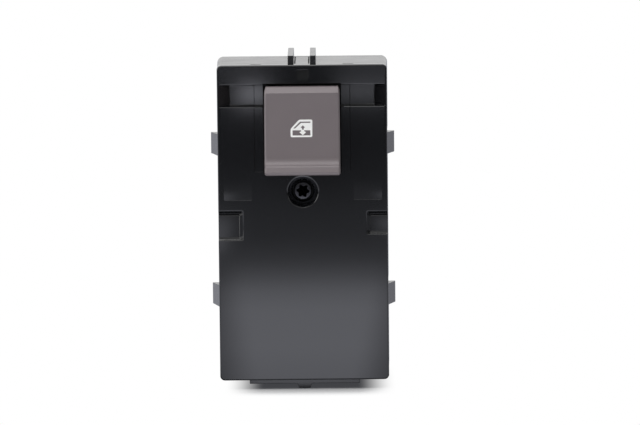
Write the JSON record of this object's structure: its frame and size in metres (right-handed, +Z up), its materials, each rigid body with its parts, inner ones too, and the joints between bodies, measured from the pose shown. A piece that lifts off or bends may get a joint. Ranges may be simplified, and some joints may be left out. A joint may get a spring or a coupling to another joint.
{
  "type": "power window switch",
  "caption": "Door panel window switch module: gloss black face with a grey rocker knob, clip-in housing and rear connector.",
  "frame": {"origin": "on the floor under the middle of the part's width and depth, as it stands on its lower end", "axes": "+X to the right across the face, +Y from the face into the body, +Z up along the face"},
  "size_m": [0.0544, 0.0414, 0.0992],
  "materials": {
    "gloss_black": "polished",
    "satin_black": "fine satin",
    "knob_grey": "soft satin",
    "black_steel": "black plated",
    "zinc_steel": "zinc plated",
    "tinned_metal": "tinned",
    "contact_metal": "bright",
    "board_laminate": "resist coated",
    "chip_black": "moulded",
    "natural_plastic": "moulded",
    "clear_plastic": "clear polished",
    "lamp_white": "translucent"
  },
  "bodies": {
    "housing": {"face_cover": "gloss_black", "switch_housing": "satin_black", "rear_cover": "satin_black", "rear_screws": "zinc_steel", "cover_screw": "black_steel", "circuit_board": "board_laminate", "board_screws": "zinc_steel", "board_resistors": "chip_black", "backlight_led": "lamp_white", "light_guide": "clear_plastic", "pin_header": "chip_black", "terminal_pins": "tinned_metal", "fixed_contacts": "contact_metal", "contact_guide": "natural_plastic", "return_spring_upper": "zinc_steel", "return_spring_lower": "zinc_steel"},
    "knob": {"knob_cap": "knob_grey", "knob_lever": "natural_plastic", "icon_lens": "lamp_white"},
    "carriage": {"contact_carriage": "natural_plastic", "wiper_contacts": "contact_metal"}
  },
  "joints": [
    {"name": "knob_tilt", "type": "hinge", "parent": "housing", "child": "knob", "pos_m": [0, -0.01025, 0.07705], "axis": [1, 0, 0], "range_deg": [-9, 9], "stiffness_Nm_per_rad": 0.15},
    {"name": "carriage_slide", "type": "slide", "parent": "housing", "child": "carriage", "axis": [0, 0, 1], "range_m": [-0.00175, 0.00175], "deforming": ["return_spring_upper", "return_spring_lower"]}
  ],
  "couplings": [
    {"joint": "carriage_slide", "follows": "knob_tilt", "m_per_rad": 0.011}
  ]
}
